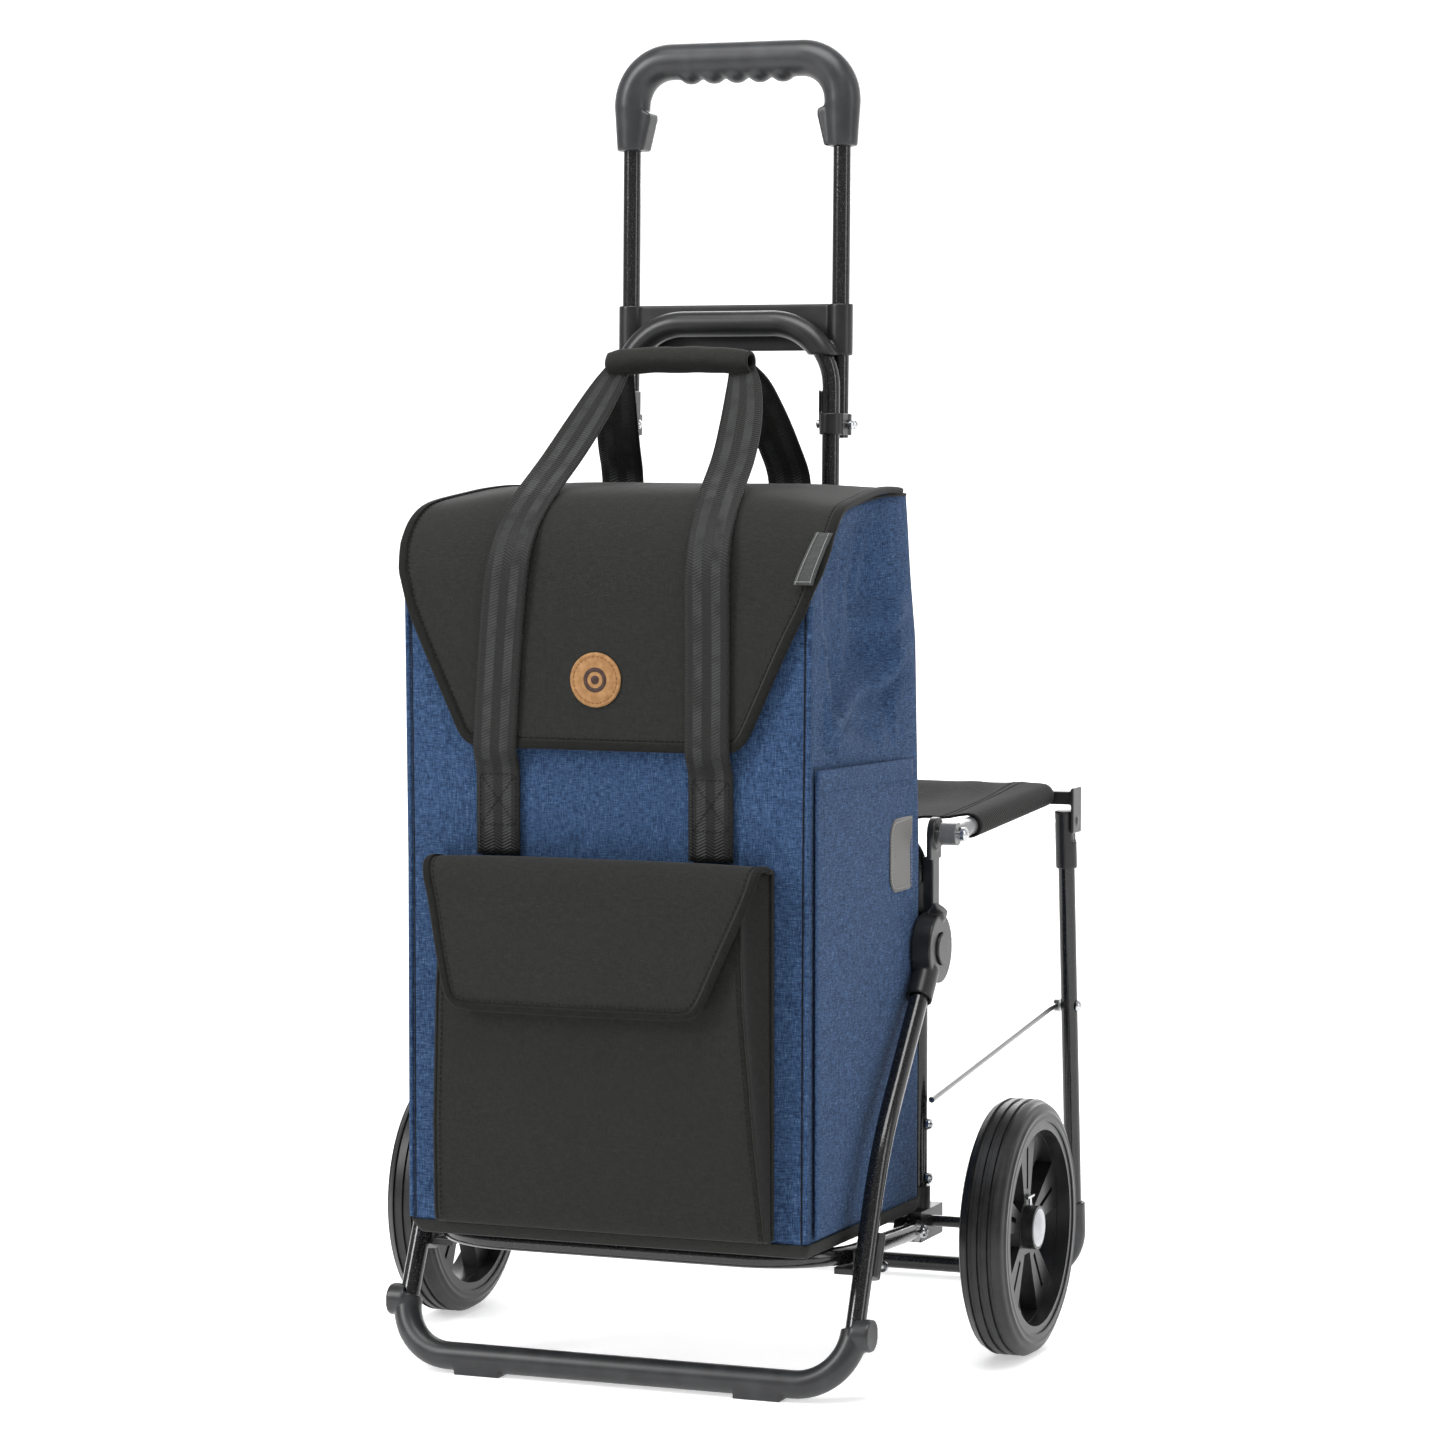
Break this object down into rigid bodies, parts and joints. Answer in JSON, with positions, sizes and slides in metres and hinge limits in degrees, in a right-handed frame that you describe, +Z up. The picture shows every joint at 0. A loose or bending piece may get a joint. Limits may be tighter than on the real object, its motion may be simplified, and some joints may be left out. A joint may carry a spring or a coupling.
{
  "type": "shopping trolley on wheels",
  "caption": "Folding two-wheeled shopping trolley: a tall cloth bag with flap and pockets on a tube frame, a telescopic pull handle and a fold-down seat behind.",
  "frame": {"origin": "on the floor, in the middle of the footprint, straight under the wheel axle", "axes": "+Z up, +Y towards the back where the seat is, +X to the right of someone who faces the bag"},
  "size_m": [0.5258, 0.5918, 1.0292],
  "materials": {
    "black_paint": "glossy black powder coat with a fine sparkle",
    "grey_paint": "satin silver grey",
    "zinc": "bright zinc plate",
    "chrome_rod": "bright chrome",
    "black_plastic": "moulded satin black plastic",
    "grip_plastic": "moulded charcoal plastic with a fine grain",
    "tyre": "black ribbed rubber",
    "rim_plastic": "moulded black plastic",
    "cap_plastic": "pale grey domed plastic",
    "blue_cloth": "blue heathered polyester",
    "black_cloth": "charcoal twill",
    "webbing": "woven webbing with two paler stripes",
    "sling_cloth": "coarse black cloth",
    "leather": "tan leather with a stitched rim",
    "label_cloth": "woven grey tab",
    "reflector": "grey reflective cloth with a stitched rim",
    "board": "stiff base board"
  },
  "bodies": {
    "root": {"side_frame_tube": "black_paint", "mast_tube": "black_paint", "cross_brace": "black_paint", "axle": "black_paint", "axle_blocks": "black_plastic", "platform_rivets": "zinc", "hub_brackets": "black_plastic", "seat_hinges": "black_plastic", "seat_pivot_bolts": "zinc", "frame_bolts": "zinc", "mast_bracket": "black_plastic", "bag_body": "blue_cloth", "bag_floor_board": "board", "front_pocket": "black_cloth", "side_pockets": "blue_cloth", "front_carry_strap": "webbing", "rear_carry_strap": "webbing", "handle_wrap": "black_cloth", "bag_hangers": "webbing", "reflector_patches": "reflector"},
    "handle": {"pull_tube_left": "black_paint", "pull_tube_right": "black_paint", "pull_grip": "grip_plastic", "slider_left": "black_plastic", "slider_right": "black_plastic", "slider_bolts": "zinc"},
    "wheel_left": {"tyre_left": "tyre", "rim_left": "rim_plastic", "hub_cap_left": "cap_plastic", "wheel_clip_left": "zinc"},
    "wheel_right": {"tyre_right": "tyre", "rim_right": "rim_plastic", "hub_cap_right": "cap_plastic", "wheel_clip_right": "zinc"},
    "foot_loop": {"foot_loop_tube": "black_paint", "foot_bumper": "grip_plastic", "arm_hub_left": "black_plastic", "arm_hub_right": "black_plastic", "platform_clamp_left": "black_plastic", "platform_clamp_right": "black_plastic", "clamp_bolts": "zinc"},
    "button_left": {"hub_button_left": "black_plastic"},
    "button_right": {"hub_button_right": "black_plastic"},
    "platform": {"platform_tube": "black_paint", "platform_eyes": "black_paint"},
    "seat": {"seat_tube": "grey_paint", "seat_eyes": "grey_paint", "seat_corner_bracket_left": "black_plastic", "seat_corner_bracket_right": "black_plastic", "seat_sling": "sling_cloth"},
    "seat_leg": {"seat_leg_tube": "black_paint", "leg_caps": "black_plastic", "leg_bumpers": "grip_plastic", "leg_bolts": "zinc"},
    "rod_left": {"link_rod_left": "chrome_rod"},
    "rod_right": {"link_rod_right": "chrome_rod"},
    "top_flap": {"top_flap": "black_cloth", "leather_patch": "leather", "flap_label": "label_cloth"},
    "pocket_flap": {"pocket_flap": "black_cloth"}
  },
  "joints": [
    {"name": "handle_slide", "type": "slide", "parent": "root", "child": "handle", "axis": [0, 0.022, 0.9998], "range_m": [-0.12, 0]},
    {"name": "wheel_spin_left", "type": "hinge", "parent": "root", "child": "wheel_left", "pos_m": [-0.2425, 0, 0.1], "axis": [1, 0, 0], "continuous": true},
    {"name": "wheel_spin_right", "type": "hinge", "parent": "root", "child": "wheel_right", "pos_m": [0.2425, 0, 0.1], "axis": [1, 0, 0], "continuous": true},
    {"name": "foot_loop_fold", "type": "hinge", "parent": "root", "child": "foot_loop", "pos_m": [0, -0.018, 0.318], "axis": [1, 0, 0], "range_deg": [0, 35]},
    {"name": "hub_button_left_press", "type": "slide", "parent": "foot_loop", "child": "button_left", "axis": [1, 0, 0], "range_m": [0, 0.003], "stiffness_N_per_m": 600},
    {"name": "hub_button_right_press", "type": "slide", "parent": "foot_loop", "child": "button_right", "axis": [-1, 0, 0], "range_m": [0, 0.003], "stiffness_N_per_m": 600},
    {"name": "platform_fold", "type": "hinge", "parent": "root", "child": "platform", "pos_m": [0, -0.028, 0.096], "axis": [-1, 0, 0], "range_deg": [0, 80], "deforming": ["bag_body", "bag_floor_board", "front_pocket", "side_pockets", "reflector_patches", "bag_hangers"]},
    {"name": "seat_fold", "type": "hinge", "parent": "root", "child": "seat", "pos_m": [0, 0.003, 0.406], "axis": [1, 0, 0], "range_deg": [0, 80]},
    {"name": "seat_leg_fold", "type": "hinge", "parent": "seat", "child": "seat_leg", "pos_m": [0, 0.254, 0.397], "axis": [1, 0, 0], "range_deg": [-84.8, 0]},
    {"name": "rod_left_fold", "type": "hinge", "parent": "seat_leg", "child": "rod_left", "pos_m": [-0.1896, 0.26691, 0.24003], "axis": [1, 0, 0], "range_deg": [0, 75.6]},
    {"name": "rod_right_fold", "type": "hinge", "parent": "seat_leg", "child": "rod_right", "pos_m": [0.1896, 0.26691, 0.24003], "axis": [1, 0, 0], "range_deg": [0, 75.6]},
    {"name": "flap_open", "type": "hinge", "parent": "root", "child": "top_flap", "pos_m": [0, -0.031, 0.668], "axis": [-1, 0, 0], "range_deg": [0, 85], "deforming": ["front_carry_strap", "rear_carry_strap", "handle_wrap"]},
    {"name": "pocket_flap_open", "type": "hinge", "parent": "root", "child": "pocket_flap", "pos_m": [0, -0.2586, 0.4053], "axis": [-1, 0, 0], "range_deg": [0, 88]}
  ],
  "couplings": [
    {"joint": "seat_leg_fold", "follows": "seat_fold", "ratio": -1.06},
    {"joint": "rod_left_fold", "follows": "seat_fold", "ratio": 0.945},
    {"joint": "rod_right_fold", "follows": "seat_fold", "ratio": 0.945}
  ]
}
